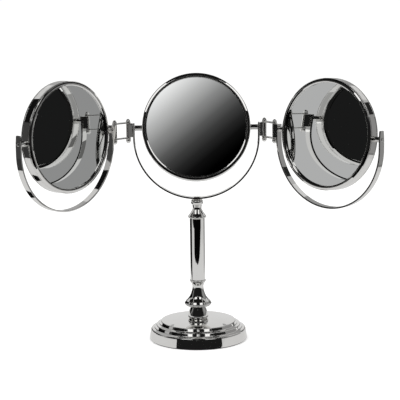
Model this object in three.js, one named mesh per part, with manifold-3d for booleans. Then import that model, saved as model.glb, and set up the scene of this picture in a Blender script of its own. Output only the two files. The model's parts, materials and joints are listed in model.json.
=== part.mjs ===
// A triple vanity mirror on a turned pedestal.
//
// Three round two-sided mirrors stand side by side. The middle one tilts in a U-shaped strip yoke
// on top of a turned column with a stepped round foot. A wing mirror hangs on each side of it, in a
// yoke of its own, from a double hinge: two upright hinge pins joined by a pair of link plates.
//
// Units are millimetres, +Z is up, and the mirrors face -Y. The origin is on the surface that the
// mirror stands on, on the column's axis.

import * as THREE from "three";
import { mergeVertices } from "three/addons/utils/BufferGeometryUtils.js";
import Module from "manifold-3d";

// Fits
const CLEARANCE = 0.3;

// Mirrors
const DRUM_RADIUS = 80;
const BAND_WALL = 1.2;
const BEZEL_WIDTH = 6.6;
const BEZEL_RISE = 2.3;
const BEZEL_SKIRT_WALL = 1.2;
const GLASS_THICKNESS = 3;
const MAGNIFIER_SAG = 3.8;
const BACKING_THICKNESS = 3.6;
const BACKING_MARGIN = 8;

// Pivot pins, on which each mirror tilts in its yoke
const PIVOT_COLLAR_RADIUS = 3.65;
const PIVOT_TIP_RADIUS = 2.4;
const PIVOT_TIP_PROUD = 0.8;
const PIVOT_TAIL_RADIUS = 1.6;
const PIVOT_TAIL_LENGTH = 7.2;
const PIVOT_BOSS_RADIUS = 3.2;
const PIVOT_BOSS_LENGTH = 6;

// Yokes
const YOKE_SIDE_GAP = 11.15;
const YOKE_THICKNESS = 2.5;
const YOKE_WIDTH = 10;
const PIVOT_ABOVE_BOW = 13.6;
const FREE_END_ABOVE_PIVOT = 12.5;
const FREE_END_TAPER = 2.2;

// Double hinges
const KNUCKLE_RADIUS = 3.4;
const KNUCKLE_HEIGHT = 20.5;
const KNUCKLE_DROP = 3.4;
const KNUCKLE_LUG_LENGTH = 6.65;
const HINGE_PIN_RADIUS = 1.7;
const LINK_PITCH = 24.3;
const LINK_THICKNESS = 1.6;
const LINK_END_RADIUS = 4;
const HINGE_HEAD_RADIUS = 3.5;
const HINGE_HEAD_HEIGHT = 4.6;
const CAP_NUT_RADIUS = 3.7;
const CAP_NUT_HEIGHT = 6.6;
const CAP_NUT_END_WALL = 2.2;

// Foot
const FOOT_RADIUS = 73.5;
const FOOT_RIM_HEIGHT = 15.7;
const FOOT_STEP_HEIGHT = 5.4;
const FOOT_STEP_WIDTH = 7.2;
const FOOT_DOME_RISE = 2.7;
const FOOT_WALL = 2.2;
const PAD_THICKNESS = 1.5;
const PAD_MARGIN = 1.5;
const FOOT_SHOULDER = 3.2;
const FOOT_RIM_DRAFT = 1.9;
const FOOT_RISER_DRAFT = 1.4;
const FOOT_LEDGE_RISE = 0.8;
const BALLAST_MARGIN = 6;
const BALLAST_HEADROOM = 3;
const BALLAST_HUB_RADIUS = 22;
const NUT_POCKET_MARGIN = 1;

// Column
const SEAT_RADIUS = 13.8;
const BULB_RADIUS = 17.7;
const BULB_HEIGHT = 17;
const WAIST_RADIUS = 13.2;
const SKIRT_RADIUS = 20.4;
const SKIRT_RISE = 6.6;
const LOWER_NECK_RADIUS = 8.5;
const BALUSTER_HEIGHT = 60;
const CUP_LIP = 1.1;
const CUP_LIP_HEIGHT = 3.4;
const CUP_LIP_CHAMFER = 0.5;
const SKIRT_EDGE = 1.6;
const TUBE_RADIUS = 11.1;
const TUBE_WALL = 1.2;
const TUBE_LENGTH = 93.6;
const SPIGOT_LENGTH = 6;
const CAP_LIP = 0.6;
const CAP_FLARE_RADIUS = 13.8;
const CAP_FLARE_HEIGHT = 3.1;
const CAP_FLARE_EDGE = 1.4;
const CAP_NECK_RADIUS = 6.8;
const CAP_KNOB_RADIUS = 9.2;
const CAP_KNOB_HEIGHT = 5.2;
const CAP_SEAT_RADIUS = 5.5;
const CAP_HEIGHT = 29.2;

// Fasteners in the column
const TIE_ROD_RADIUS = 2.9;
const TIE_ROD_NUT_ACROSS_FLATS = 10;
const TIE_ROD_NUT_HEIGHT = 5;
const WASHER_RADIUS = 9;
const WASHER_THICKNESS = 1.6;
const ROD_END_BELOW_NUT = 1;
const ROD_DEPTH_IN_CAP = 9;
const YOKE_SCREW_RADIUS = 2.4;
const YOKE_SCREW_DEPTH = 9;
const YOKE_SCREW_HEAD_RADIUS = 5;
const YOKE_SCREW_HEAD_HEIGHT = 1.5;

// Pose: how far each link and wing swings forward of the middle yoke's plane, and how far each
// mirror leans back
const LINK_SWING_DEG = { left: 37.7, right: 54.1 };
const WING_SWING_DEG = { left: 49.4, right: 42.5 };
const TILT_DEG = { center: 14.5, left: 2.3, right: 5.3 };

// Roundness
const DRUM_SIDES = 40;
const FOOT_SIDES = 40;
const COLUMN_SIDES = 24;
const SMALL_SIDES = 12;
const YOKE_BOW_STEPS = 32;
const BEZEL_STEPS = 3;
const HALF_TURN_SIDES = Math.ceil(SMALL_SIDES / 2);

// Sizes worked out from those above
const BAND_INNER_RADIUS = DRUM_RADIUS - BAND_WALL;
const SKIRT_OUTER_RADIUS = BAND_INNER_RADIUS - CLEARANCE;
const SKIRT_INNER_RADIUS = SKIRT_OUTER_RADIUS - BEZEL_SKIRT_WALL;
const GLASS_RADIUS = SKIRT_INNER_RADIUS - CLEARANCE;
const BOSS_OUTER_END = DRUM_RADIUS - BAND_WALL / 2;
const BOSS_INNER_END = BOSS_OUTER_END - PIVOT_BOSS_LENGTH;
const PIVOT_TAIL_END = DRUM_RADIUS - PIVOT_TAIL_LENGTH;
const SAG_AT_BOSS = MAGNIFIER_SAG * (1 - (BOSS_INNER_END / GLASS_RADIUS) ** 2);
const HALF_ROOM_FOR_BOARD = (MAGNIFIER_SAG + BACKING_THICKNESS) / 2 + CLEARANCE;
const HALF_ROOM_FOR_BOSS = PIVOT_BOSS_RADIUS + CLEARANCE + SAG_AT_BOSS;
const HALF_BAND = GLASS_THICKNESS + Math.max(HALF_ROOM_FOR_BOARD, HALF_ROOM_FOR_BOSS);
const SKIRT_END = PIVOT_BOSS_RADIUS + CLEARANCE;
const YOKE_INNER_RADIUS = DRUM_RADIUS + YOKE_SIDE_GAP;
const YOKE_OUTER_RADIUS = YOKE_INNER_RADIUS + YOKE_THICKNESS;
const HINGE_REACH = YOKE_OUTER_RADIUS + CLEARANCE + KNUCKLE_LUG_LENGTH;
const HINGE_BORE_RADIUS = HINGE_PIN_RADIUS + CLEARANCE;
const TIP_HOLE_RADIUS = PIVOT_TIP_RADIUS + CLEARANCE;
const ROD_BORE_RADIUS = TIE_ROD_RADIUS + CLEARANCE;
const SCREW_BORE_RADIUS = YOKE_SCREW_RADIUS + CLEARANCE;
const SPIGOT_RADIUS = TUBE_RADIUS - TUBE_WALL - CLEARANCE;
const NUT_CORNER_RADIUS = TIE_ROD_NUT_ACROSS_FLATS / Math.sqrt(3);

// Heights, from the floor up
const FOOT_TOP = PAD_THICKNESS + FOOT_RIM_HEIGHT + 2 * FOOT_STEP_HEIGHT + FOOT_DOME_RISE;
const TUBE_BOTTOM = FOOT_TOP + BALUSTER_HEIGHT;
const TUBE_TOP = TUBE_BOTTOM + TUBE_LENGTH;
const COLUMN_TOP = TUBE_TOP + CAP_HEIGHT;
const BOW_CENTER = COLUMN_TOP + YOKE_OUTER_RADIUS;
const PIVOT_HEIGHT = BOW_CENTER + PIVOT_ABOVE_BOW;
const KNUCKLE_CENTER = PIVOT_HEIGHT - KNUCKLE_DROP;
const KNUCKLE_TOP = KNUCKLE_CENTER + KNUCKLE_HEIGHT / 2;
const KNUCKLE_BOTTOM = KNUCKLE_CENTER - KNUCKLE_HEIGHT / 2;

const chrome = new THREE.MeshStandardMaterial({ color: 0xd6d4cf, roughness: 0.05, metalness: 1 });
const silvering = new THREE.MeshStandardMaterial({ color: 0xe9ecec, roughness: 0.02, metalness: 1 });
const steel = new THREE.MeshStandardMaterial({ color: 0x8f8f90, roughness: 0.4, metalness: 1 });
const iron = new THREE.MeshStandardMaterial({ color: 0x3c3d40, roughness: 0.8, metalness: 0.6 });
const felt = new THREE.MeshStandardMaterial({ color: 0x1d1d20, roughness: 1, metalness: 0 });
const board = new THREE.MeshStandardMaterial({ color: 0x8a7458, roughness: 0.9, metalness: 0 });

const wasm = await Module();
wasm.setup();

// A closed geometry as a solid that can be cut and joined.
function solid(geometry) {
  const bare = geometry.index ? geometry.toNonIndexed() : geometry.clone();
  bare.deleteAttribute("normal");
  bare.deleteAttribute("uv");
  const merged = mergeVertices(bare, 1e-4);
  return new wasm.Manifold(
    new wasm.Mesh({
      numProp: 3,
      vertProperties: new Float32Array(merged.attributes.position.array),
      triVerts: new Uint32Array(merged.index.array),
    }),
  );
}

// A cut or joined solid as a geometry again.
function geometryOf(manifold) {
  const mesh = manifold.getMesh();
  const geometry = new THREE.BufferGeometry();
  geometry.setAttribute("position", new THREE.BufferAttribute(mesh.vertProperties, mesh.numProp));
  geometry.setIndex(new THREE.BufferAttribute(mesh.triVerts, 1));
  geometry.computeVertexNormals();
  return geometry;
}

// A named piece. Geometry is built about the piece's own group.
function piece(name, geometry, material) {
  const mesh = new THREE.Mesh(geometry, material);
  mesh.name = name;
  return mesh;
}

// A solid of revolution about Z. The profile is [radius, height] pairs, up its outer side.
function turned(profile, sides) {
  const points = profile.map(([r, z]) => new THREE.Vector2(Math.max(r, 0), z));
  return new THREE.LatheGeometry(points, sides).rotateX(Math.PI / 2);
}

// A turned ring or bush: its profile doesn't reach the axis, so it closes on itself.
function turnedRing(profile, sides) {
  return turned([...profile, profile[0]], sides);
}

// A round bar along Z between two heights.
function bar(radius, bottom, top, sides = SMALL_SIDES) {
  return turned([[0, bottom], [radius, bottom], [radius, top], [0, top]], sides);
}

// A shape drawn in X and Z, pulled evenly to both sides along Y.
function slab(shape, width, curveSegments = SMALL_SIDES) {
  const geometry = new THREE.ExtrudeGeometry(shape, { depth: width, bevelEnabled: false, curveSegments });
  return geometry.translate(0, 0, -width / 2).rotateX(Math.PI / 2);
}

// A flat plate drawn in X and Y, standing on a height.
function plate(shape, bottom, thickness, curveSegments = SMALL_SIDES) {
  const geometry = new THREE.ExtrudeGeometry(shape, {
    depth: thickness,
    bevelEnabled: false,
    curveSegments,
  });
  return geometry.translate(0, 0, bottom);
}

// Points [x, y] on an ellipse's arc, from one angle to another.
function arc(x, y, rx, ry, from, to, steps) {
  return Array.from({ length: steps + 1 }, (_, i) => {
    const angle = from + ((to - from) * i) / steps;
    return [x + rx * Math.cos(angle), y + ry * Math.sin(angle)];
  });
}

// A smooth profile through [radius, height] points, with a number of steps to each span.
function smooth(points, steps) {
  const curve = new THREE.SplineCurve(points.map(([r, z]) => new THREE.Vector2(r, z)));
  return curve.getPoints((points.length - 1) * steps).map((p) => [p.x, p.y]);
}

// Mirrors. Each is built about its own pivot, with its pivot axis along X and its front towards -Y.

// Turns a shape that was turned about Z, with its front towards +Z, to face -Y.
function faceForward(geometry) {
  return geometry.rotateX(Math.PI / 2);
}

// The drum's outer band, with a tapped boss inside it on each side for a pivot pin.
function drumBand() {
  const profile = [
    [BAND_INNER_RADIUS, -HALF_BAND],
    [DRUM_RADIUS, -HALF_BAND],
    [DRUM_RADIUS, HALF_BAND],
    [BAND_INNER_RADIUS, HALF_BAND],
  ];
  let band = solid(faceForward(turnedRing(profile, DRUM_SIDES)));
  for (const side of [-1, 1]) {
    const boss = bar(PIVOT_BOSS_RADIUS, BOSS_INNER_END, BOSS_OUTER_END);
    const hole = bar(PIVOT_TAIL_RADIUS + CLEARANCE, 0, DRUM_RADIUS * 2);
    band = band.add(solid(boss.rotateY((side * Math.PI) / 2)));
    band = band.subtract(solid(hole.rotateY((side * Math.PI) / 2)));
  }
  return geometryOf(band);
}

// A pressed bezel: a half-round lip over the glass, and a skirt that plugs into the band.
function bezel() {
  const seat = HALF_BAND + CLEARANCE;
  const crown = DRUM_RADIUS - BEZEL_WIDTH / 2;
  const profile = [
    [SKIRT_INNER_RADIUS, SKIRT_END],
    [SKIRT_OUTER_RADIUS, SKIRT_END],
    [SKIRT_OUTER_RADIUS, seat],
    ...arc(crown, seat, BEZEL_WIDTH / 2, BEZEL_RISE, 0, Math.PI, BEZEL_STEPS),
    [SKIRT_INNER_RADIUS, seat],
  ];
  return faceForward(turnedRing(profile, DRUM_SIDES));
}

// The plain side's glass.
function flatGlass() {
  return faceForward(bar(GLASS_RADIUS, HALF_BAND - GLASS_THICKNESS, HALF_BAND, DRUM_SIDES));
}

// The magnifying side: a dished glass, hollow to the back.
function magnifyingGlass() {
  const rings = [0, 0.5, 1].map((share) => share * GLASS_RADIUS);
  const dish = (r) => -HALF_BAND + MAGNIFIER_SAG * (1 - (r / GLASS_RADIUS) ** 2);
  const back = rings.map((r) => [r, dish(r)]);
  const front = rings.map((r) => [r, dish(r) + GLASS_THICKNESS]).reverse();
  return faceForward(turned([...back, ...front], DRUM_SIDES));
}

// The board between the two glasses, clear of the pivot bosses and pins.
function backing() {
  const front = HALF_BAND - GLASS_THICKNESS - CLEARANCE;
  const radius = Math.min(
    GLASS_RADIUS - BACKING_MARGIN,
    BOSS_INNER_END - CLEARANCE,
    PIVOT_TAIL_END - CLEARANCE,
  );
  return faceForward(bar(radius, front - BACKING_THICKNESS, front, SMALL_SIDES * 2));
}

// A pivot pin along +X: a tail in the drum's boss, a collar across the gap, a tip in the yoke.
function pivotPin() {
  const collarStart = DRUM_RADIUS + CLEARANCE;
  const collarEnd = YOKE_INNER_RADIUS - CLEARANCE;
  const tipEnd = YOKE_OUTER_RADIUS + PIVOT_TIP_PROUD;
  const tipRound = PIVOT_TIP_PROUD / 2;
  const profile = [
    [0, PIVOT_TAIL_END],
    [PIVOT_TAIL_RADIUS, PIVOT_TAIL_END],
    [PIVOT_TAIL_RADIUS, collarStart],
    [PIVOT_COLLAR_RADIUS, collarStart],
    [PIVOT_COLLAR_RADIUS, collarEnd],
    [PIVOT_TIP_RADIUS, collarEnd],
    [PIVOT_TIP_RADIUS, tipEnd - tipRound],
    [PIVOT_TIP_RADIUS - tipRound, tipEnd],
    [0, tipEnd],
  ];
  return turned(profile, SMALL_SIDES).rotateY(Math.PI / 2);
}

// One two-sided mirror with its pivot pins, about its own pivot.
function mirror(name, tiltDegrees) {
  const group = new THREE.Group();
  const rearBezel = bezel().rotateZ(Math.PI);
  const leftPin = pivotPin().rotateZ(Math.PI);
  group.add(
    piece(name + "_drum_band", drumBand(), chrome),
    piece(name + "_front_bezel", bezel(), chrome),
    piece(name + "_rear_bezel", rearBezel, chrome),
    piece(name + "_flat_glass", flatGlass(), silvering),
    piece(name + "_magnifying_glass", magnifyingGlass(), silvering),
    piece(name + "_backing_board", backing(), board),
    piece(name + "_left_pivot_pin", leftPin, chrome),
    piece(name + "_right_pivot_pin", pivotPin(), chrome),
  );
  group.rotation.x = THREE.MathUtils.degToRad(-tiltDegrees);
  group.position.z = PIVOT_HEIGHT;
  return group;
}

// Yokes. A yoke is a flat strip bent into a bow, with an upright arm on each side.

// The strip's side view. An arm's end is a height above the floor.
function yokeOutline(leftEnd, rightEnd) {
  const outline = new THREE.Shape();
  outline.moveTo(-YOKE_OUTER_RADIUS, leftEnd);
  outline.lineTo(-YOKE_OUTER_RADIUS, BOW_CENTER);
  outline.absarc(0, BOW_CENTER, YOKE_OUTER_RADIUS, Math.PI, 2 * Math.PI, false);
  outline.lineTo(YOKE_OUTER_RADIUS, rightEnd);
  outline.lineTo(YOKE_INNER_RADIUS, rightEnd);
  outline.lineTo(YOKE_INNER_RADIUS, BOW_CENTER);
  outline.absarc(0, BOW_CENTER, YOKE_INNER_RADIUS, 2 * Math.PI, Math.PI, true);
  outline.lineTo(-YOKE_INNER_RADIUS, leftEnd);
  return outline;
}

// What is cut off a free arm's end, so that the strip narrows to its tip, as an outline in Y and Z.
function taperCut(side, front) {
  const top = PIVOT_HEIGHT + FREE_END_ABOVE_PIVOT;
  const edge = YOKE_WIDTH / 2;
  const outline = new THREE.Shape();
  outline.moveTo(edge - FREE_END_TAPER / 2, top + CLEARANCE);
  outline.lineTo(edge + CLEARANCE, top + CLEARANCE);
  outline.lineTo(edge + CLEARANCE, PIVOT_HEIGHT);
  outline.lineTo(edge, PIVOT_HEIGHT);
  const wedge = slab(outline, 2 * YOKE_OUTER_RADIUS).rotateZ((front * Math.PI) / 2);
  return solid(wedge.translate(side * (YOKE_OUTER_RADIUS + YOKE_INNER_RADIUS), 0, 0));
}

// freeSide is the side whose arm carries no hinge: -1 left, 1 right, 0 none.
function yoke(freeSide) {
  const freeEnd = PIVOT_HEIGHT + FREE_END_ABOVE_PIVOT;
  const leftEnd = freeSide < 0 ? freeEnd : KNUCKLE_TOP;
  const rightEnd = freeSide > 0 ? freeEnd : KNUCKLE_TOP;
  const strip = slab(yokeOutline(leftEnd, rightEnd), YOKE_WIDTH, YOKE_BOW_STEPS);
  const pivotHole = bar(TIP_HOLE_RADIUS, -2 * YOKE_OUTER_RADIUS, 2 * YOKE_OUTER_RADIUS);
  pivotHole.rotateY(Math.PI / 2).translate(0, 0, PIVOT_HEIGHT);
  let cut = solid(strip).subtract(solid(pivotHole));
  if (freeSide === 0) {
    const screwHole = bar(SCREW_BORE_RADIUS, COLUMN_TOP - YOKE_THICKNESS, BOW_CENTER);
    return geometryOf(cut.subtract(solid(screwHole)));
  }
  for (const front of [-1, 1]) cut = cut.subtract(taperCut(freeSide, front));
  return geometryOf(cut);
}

// Hinges. Each is built about its hinge pin's axis.

// A knuckle on its pin's axis, with a lug that reaches back towards -X, to its yoke's arm.
function knuckle() {
  const lug = new THREE.Shape();
  lug.moveTo(0, KNUCKLE_RADIUS);
  lug.lineTo(-KNUCKLE_LUG_LENGTH, KNUCKLE_RADIUS);
  lug.lineTo(-KNUCKLE_LUG_LENGTH, -KNUCKLE_RADIUS);
  lug.lineTo(0, -KNUCKLE_RADIUS);
  lug.absarc(0, 0, KNUCKLE_RADIUS, -Math.PI / 2, Math.PI / 2, false);
  const body = solid(plate(lug, KNUCKLE_BOTTOM, KNUCKLE_HEIGHT));
  const bore = solid(bar(HINGE_BORE_RADIUS, KNUCKLE_BOTTOM - CLEARANCE, KNUCKLE_TOP + CLEARANCE));
  const pocketDepth = PIVOT_TIP_PROUD + CLEARANCE;
  const pocket = bar(TIP_HOLE_RADIUS, -CLEARANCE, pocketDepth).rotateY(Math.PI / 2);
  pocket.translate(-KNUCKLE_LUG_LENGTH, 0, PIVOT_HEIGHT);
  return geometryOf(body.subtract(bore).subtract(solid(pocket)));
}

// A link plate from one pin's axis to the next, along X.
function linkPlate(side, bottom) {
  const outline = new THREE.Shape();
  const far = side * LINK_PITCH;
  const right = Math.max(0, far);
  const left = Math.min(0, far);
  outline.absarc(right, 0, LINK_END_RADIUS, -Math.PI / 2, Math.PI / 2, false);
  outline.absarc(left, 0, LINK_END_RADIUS, Math.PI / 2, (3 * Math.PI) / 2, false);
  for (const x of [left, right]) {
    const hole = new THREE.Path();
    hole.absarc(x, 0, HINGE_BORE_RADIUS, 0, 2 * Math.PI, true);
    outline.holes.push(hole);
  }
  return plate(outline, bottom, LINK_THICKNESS, HALF_TURN_SIDES);
}

const TOP_LINK_BOTTOM = KNUCKLE_TOP + CLEARANCE;
const BOTTOM_LINK_BOTTOM = KNUCKLE_BOTTOM - CLEARANCE - LINK_THICKNESS;
const HEAD_BOTTOM = TOP_LINK_BOTTOM + LINK_THICKNESS + CLEARANCE;
const CAP_NUT_TOP = BOTTOM_LINK_BOTTOM - CLEARANCE;
const CAP_NUT_BOTTOM = CAP_NUT_TOP - CAP_NUT_HEIGHT;

// A hinge pin: a domed head on the top link, and a shaft down into the cap nut.
function hingePin() {
  const shaftEnd = CAP_NUT_BOTTOM + CAP_NUT_END_WALL + CLEARANCE;
  const profile = [
    [0, shaftEnd],
    [HINGE_PIN_RADIUS, shaftEnd],
    [HINGE_PIN_RADIUS, HEAD_BOTTOM],
    [HINGE_HEAD_RADIUS, HEAD_BOTTOM],
    ...arc(0, HEAD_BOTTOM, HINGE_HEAD_RADIUS, HINGE_HEAD_HEIGHT, 0.25, Math.PI / 2, 3),
  ];
  return turned(profile, SMALL_SIDES);
}

// The round cap nut under the bottom link, with a blind bore for the pin.
function capNut() {
  const domeHeight = CAP_NUT_HEIGHT * 0.7;
  const domeTop = CAP_NUT_BOTTOM + domeHeight;
  const dome = arc(0, domeTop, CAP_NUT_RADIUS, domeHeight, -Math.PI / 2, -0.2, 3);
  const profile = [
    ...dome,
    [CAP_NUT_RADIUS, CAP_NUT_TOP],
    [HINGE_BORE_RADIUS, CAP_NUT_TOP],
    [HINGE_BORE_RADIUS, CAP_NUT_BOTTOM + CAP_NUT_END_WALL],
    [0, CAP_NUT_BOTTOM + CAP_NUT_END_WALL],
  ];
  return turned(profile, SMALL_SIDES);
}

// A named knuckle, with its lug towards one side of the pin's axis: -1 left, 1 right.
function knuckleFor(name, lugSide) {
  const turn = lugSide < 0 ? 0 : Math.PI;
  return piece(name + "_knuckle", knuckle().rotateZ(turn), chrome);
}

// A named hinge pin with its nut.
function hingePinWithNut(name) {
  const group = new THREE.Group();
  group.add(
    piece(name + "_hinge_pin", hingePin(), chrome),
    piece(name + "_cap_nut", capNut(), chrome),
  );
  return group;
}

// A wing: its knuckle, yoke and mirror, about the outer hinge pin's axis.
function wing(name, side) {
  const group = new THREE.Group();
  group.add(knuckleFor(name + "_outer", side));
  const frame = new THREE.Group();
  frame.add(piece(name + "_yoke", yoke(side), chrome));
  frame.add(mirror(name, TILT_DEG[name]));
  frame.position.x = side * HINGE_REACH;
  group.add(frame);
  return group;
}

// A double hinge and the wing on it, about the inner hinge pin's axis.
function hingedWing(name, side) {
  const links = new THREE.Group();
  links.add(
    piece(name + "_top_link", linkPlate(side, TOP_LINK_BOTTOM), chrome),
    piece(name + "_bottom_link", linkPlate(side, BOTTOM_LINK_BOTTOM), chrome),
  );
  links.add(hingePinWithNut(name + "_inner"));
  const outer = hingePinWithNut(name + "_outer");
  outer.position.x = side * LINK_PITCH;
  const swinging = wing(name, side);
  swinging.position.x = side * LINK_PITCH;
  const wingSwing = WING_SWING_DEG[name] - LINK_SWING_DEG[name];
  swinging.rotation.z = THREE.MathUtils.degToRad(-side * wingSwing);
  links.add(outer, swinging);
  links.position.x = side * HINGE_REACH;
  links.rotation.z = THREE.MathUtils.degToRad(-side * LINK_SWING_DEG[name]);
  return links;
}

// Foot. It is built in place, about the column's axis.

// The foot's outer profile from its bottom edge up to the column's seat, drawn in by an offset.
function footOutside(inset) {
  const rimTop = PAD_THICKNESS + FOOT_RIM_HEIGHT - inset;
  const rim = FOOT_RADIUS - inset;
  const round = FOOT_SHOULDER;
  const firstStep = rim - FOOT_SHOULDER - FOOT_STEP_WIDTH;
  const secondStep = firstStep - FOOT_STEP_WIDTH;
  return [
    [rim, PAD_THICKNESS],
    ...arc(rim - FOOT_RIM_DRAFT - round, rimTop - round, round, round, 0, Math.PI / 2, 3),
    [firstStep + FOOT_RISER_DRAFT, rimTop + FOOT_LEDGE_RISE],
    [firstStep, rimTop + FOOT_STEP_HEIGHT],
    [secondStep + FOOT_RISER_DRAFT, rimTop + FOOT_STEP_HEIGHT + FOOT_LEDGE_RISE],
    [secondStep, rimTop + 2 * FOOT_STEP_HEIGHT],
    [(SEAT_RADIUS + secondStep) / 2, FOOT_TOP - FOOT_DOME_RISE / 3 - inset],
    [SEAT_RADIUS, FOOT_TOP - inset],
  ];
}

// The foot's pressed shell, of even wall, with the rod's hole at its crown.
function footShell() {
  const outside = footOutside(0);
  const inside = footOutside(FOOT_WALL).reverse();
  const hole = [
    [ROD_BORE_RADIUS, FOOT_TOP],
    [ROD_BORE_RADIUS, FOOT_TOP - FOOT_WALL],
  ];
  return turnedRing([...outside, ...hole, ...inside], FOOT_SIDES);
}

const BALLAST_BOTTOM = PAD_THICKNESS + CLEARANCE;
const BALLAST_HUB_TOP = FOOT_TOP - FOOT_WALL - CLEARANCE;
const NUT_POCKET_TOP =
  BALLAST_BOTTOM + ROD_END_BELOW_NUT + TIE_ROD_NUT_HEIGHT + WASHER_THICKNESS + 2 * CLEARANCE;

// The cast ballast under the foot's dome, with a pocket for the washer and nut below.
function ballast() {
  const discTop = PAD_THICKNESS + FOOT_RIM_HEIGHT - FOOT_WALL - BALLAST_HEADROOM;
  const radius = FOOT_RADIUS - FOOT_WALL - BALLAST_MARGIN;
  const pocketRadius = Math.max(WASHER_RADIUS, NUT_CORNER_RADIUS) + NUT_POCKET_MARGIN;
  const profile = [
    [pocketRadius, BALLAST_BOTTOM],
    [radius, BALLAST_BOTTOM],
    [radius, discTop],
    [BALLAST_HUB_RADIUS, discTop],
    [SEAT_RADIUS, BALLAST_HUB_TOP],
    [ROD_BORE_RADIUS, BALLAST_HUB_TOP],
    [ROD_BORE_RADIUS, NUT_POCKET_TOP],
    [pocketRadius, NUT_POCKET_TOP],
  ];
  return turnedRing(profile, FOOT_SIDES / 2);
}

function washer() {
  const top = NUT_POCKET_TOP - CLEARANCE;
  const profile = [
    [ROD_BORE_RADIUS, top - WASHER_THICKNESS],
    [WASHER_RADIUS, top - WASHER_THICKNESS],
    [WASHER_RADIUS, top],
    [ROD_BORE_RADIUS, top],
  ];
  return turnedRing(profile, SMALL_SIDES);
}

const ROD_NUT_TOP = NUT_POCKET_TOP - WASHER_THICKNESS - 2 * CLEARANCE;

// The hexagon nut that pulls the tie rod tight.
function rodNut() {
  const outline = new THREE.Shape();
  const corners = arc(0, 0, NUT_CORNER_RADIUS, NUT_CORNER_RADIUS, 0, 2 * Math.PI, 6);
  outline.setFromPoints(corners.slice(1).map(([x, y]) => new THREE.Vector2(x, y)));
  const hole = new THREE.Path();
  hole.absarc(0, 0, ROD_BORE_RADIUS, 0, 2 * Math.PI, true);
  outline.holes.push(hole);
  return plate(outline, ROD_NUT_TOP - TIE_ROD_NUT_HEIGHT, TIE_ROD_NUT_HEIGHT, HALF_TURN_SIDES);
}

// Column. Each piece is turned about the column's axis, in place.

// The lower baluster: a bulb, a flared skirt, a neck and a cup that carries the tube.
function baluster() {
  const skirtEdge = BULB_HEIGHT + SKIRT_RISE;
  const cupLip = TUBE_RADIUS + CUP_LIP;
  const lipBottom = BALUSTER_HEIGHT - CUP_LIP_HEIGHT;
  const above = (share) => skirtEdge + SKIRT_EDGE / 2 + share * (lipBottom - skirtEdge);
  const bulb = smooth(
    [
      [SEAT_RADIUS, 0],
      [BULB_RADIUS * 0.96, BULB_HEIGHT * 0.27],
      [BULB_RADIUS, BULB_HEIGHT * 0.5],
      [BULB_RADIUS * 0.94, BULB_HEIGHT * 0.75],
      [WAIST_RADIUS, BULB_HEIGHT],
    ],
    2,
  );
  const neck = smooth(
    [
      [SKIRT_RADIUS * 0.9, above(0.08)],
      [SKIRT_RADIUS * 0.66, above(0.24)],
      [LOWER_NECK_RADIUS * 1.2, above(0.46)],
      [LOWER_NECK_RADIUS, above(0.72)],
      [LOWER_NECK_RADIUS * 1.1, above(0.86)],
      [cupLip * 0.92, above(0.96)],
    ],
    2,
  );
  const outside = [
    ...bulb,
    [SKIRT_RADIUS * 0.92, skirtEdge - SKIRT_RISE * 0.45],
    [SKIRT_RADIUS, skirtEdge - SKIRT_EDGE / 2],
    [SKIRT_RADIUS, skirtEdge + SKIRT_EDGE / 2],
    ...neck,
    [cupLip, lipBottom + CUP_LIP_HEIGHT * 0.2],
    [cupLip, BALUSTER_HEIGHT - CUP_LIP_CHAMFER],
    [cupLip - CUP_LIP_CHAMFER, BALUSTER_HEIGHT],
    [SPIGOT_RADIUS, BALUSTER_HEIGHT],
    [SPIGOT_RADIUS, BALUSTER_HEIGHT + SPIGOT_LENGTH],
    [ROD_BORE_RADIUS, BALUSTER_HEIGHT + SPIGOT_LENGTH],
    [ROD_BORE_RADIUS, 0],
  ];
  return turnedRing(outside, COLUMN_SIDES).translate(0, 0, FOOT_TOP);
}

// The plain tube, on a spigot of the baluster below and of the cap above.
function columnTube() {
  const inner = TUBE_RADIUS - TUBE_WALL;
  const profile = [
    [inner, TUBE_BOTTOM],
    [TUBE_RADIUS, TUBE_BOTTOM],
    [TUBE_RADIUS, TUBE_TOP],
    [inner, TUBE_TOP],
  ];
  return turnedRing(profile, COLUMN_SIDES);
}

const ROD_TOP = TUBE_TOP + ROD_DEPTH_IN_CAP;

// The column's cap: a flare over the tube, a neck and a knob, bored from below and from above.
function columnCap() {
  const flareTop = CAP_FLARE_HEIGHT;
  const knob = CAP_HEIGHT - CAP_KNOB_HEIGHT;
  const between = (share) => flareTop + share * (knob - flareTop);
  const neck = smooth(
    [
      [CAP_FLARE_RADIUS * 0.9, between(0.09)],
      [CAP_NECK_RADIUS * 1.45, between(0.26)],
      [CAP_NECK_RADIUS, between(0.55)],
      [CAP_NECK_RADIUS, between(0.79)],
      [CAP_KNOB_RADIUS, knob],
      [CAP_KNOB_RADIUS * 0.94, knob + CAP_KNOB_HEIGHT / 2],
    ],
    2,
  );
  const screwBoreEnd = CAP_HEIGHT - YOKE_SCREW_DEPTH - CLEARANCE;
  const rodBoreEnd = ROD_DEPTH_IN_CAP + CLEARANCE;
  const profile = [
    [0, rodBoreEnd],
    [ROD_BORE_RADIUS, rodBoreEnd],
    [ROD_BORE_RADIUS, -SPIGOT_LENGTH],
    [SPIGOT_RADIUS, -SPIGOT_LENGTH],
    [SPIGOT_RADIUS, CLEARANCE],
    [TUBE_RADIUS + CAP_LIP, CLEARANCE],
    [CAP_FLARE_RADIUS, flareTop - CAP_FLARE_EDGE],
    [CAP_FLARE_RADIUS, flareTop],
    ...neck,
    [CAP_SEAT_RADIUS, CAP_HEIGHT],
    [SCREW_BORE_RADIUS, CAP_HEIGHT],
    [SCREW_BORE_RADIUS, screwBoreEnd],
    [0, screwBoreEnd],
  ];
  return turned(profile, COLUMN_SIDES).translate(0, 0, TUBE_TOP);
}

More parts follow.
